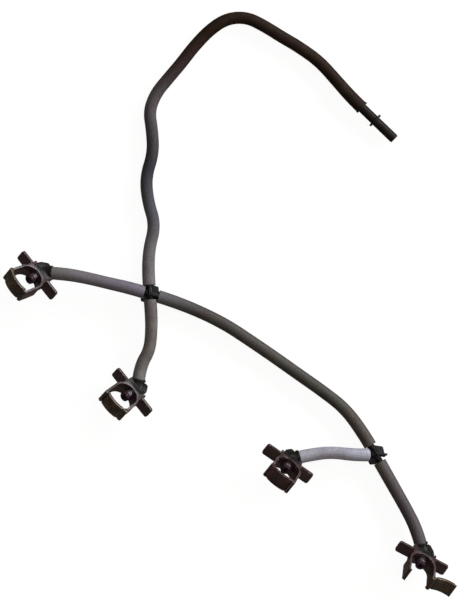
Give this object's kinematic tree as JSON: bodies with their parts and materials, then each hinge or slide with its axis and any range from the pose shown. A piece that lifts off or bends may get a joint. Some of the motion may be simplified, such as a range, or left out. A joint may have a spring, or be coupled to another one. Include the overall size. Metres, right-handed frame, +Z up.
{
  "type": "injector return hose",
  "caption": "Fuel return hose with branched grey rubber runs, push-on injector connectors with swing gates, a cross and a tee fitting, and a beaded return nipple.",
  "frame": {"origin": "middle of the part's plan on the surface it rests on", "axes": "+Y along the longest extent, from the connectors towards the return nipple; +Z up from the surface"},
  "size_m": [0.2931, 0.3791, 0.0343],
  "materials": {
    "hose": "matte",
    "clip": "satin",
    "gate": "satin",
    "elbow": "satin",
    "seal": "oiled",
    "fitting": "satin",
    "nipple": "satin"
  },
  "bodies": {
    "hose_body": {"clip_frame_1": "clip", "elbow_1": "elbow", "o_ring_1": "seal", "clip_frame_2": "clip", "elbow_2": "elbow", "o_ring_2": "seal", "clip_frame_3": "clip", "elbow_3": "elbow", "o_ring_3": "seal", "clip_frame_4": "clip", "elbow_4": "elbow", "o_ring_4": "seal", "cross_fitting": "fitting", "tee_fitting": "fitting", "return_nipple": "nipple", "hose_1": "hose", "hose_2": "hose", "hose_3": "hose", "hose_4": "hose", "hose_5": "hose", "hose_6": "hose"},
    "gate_1_body": {"gate_1": "gate"},
    "gate_2_body": {"gate_2": "gate"},
    "gate_3_body": {"gate_3": "gate"},
    "gate_4_body": {"gate_4": "gate"}
  },
  "joints": [
    {"name": "gate_1_swing", "type": "hinge", "parent": "hose_body", "child": "gate_1_body", "pos_m": [-0.14212, 0.01826, 0.0231], "axis": [-0.4891, -0.5502, -0.6768], "range_deg": [0, 185]},
    {"name": "gate_2_swing", "type": "hinge", "parent": "hose_body", "child": "gate_2_body", "pos_m": [-0.06855, -0.07246, 0.02612], "axis": [0.5045, 0.5443, 0.6703], "range_deg": [0, 185]},
    {"name": "gate_3_swing", "type": "hinge", "parent": "hose_body", "child": "gate_3_body", "pos_m": [0.02589, -0.10809, 0.02885], "axis": [-0.5351, -0.6828, -0.4973], "range_deg": [0, 185]},
    {"name": "gate_4_swing", "type": "hinge", "parent": "hose_body", "child": "gate_4_body", "pos_m": [0.13004, -0.18108, 0.02583], "axis": [0.4581, 0.6888, 0.5618], "range_deg": [-185, 0]}
  ]
}
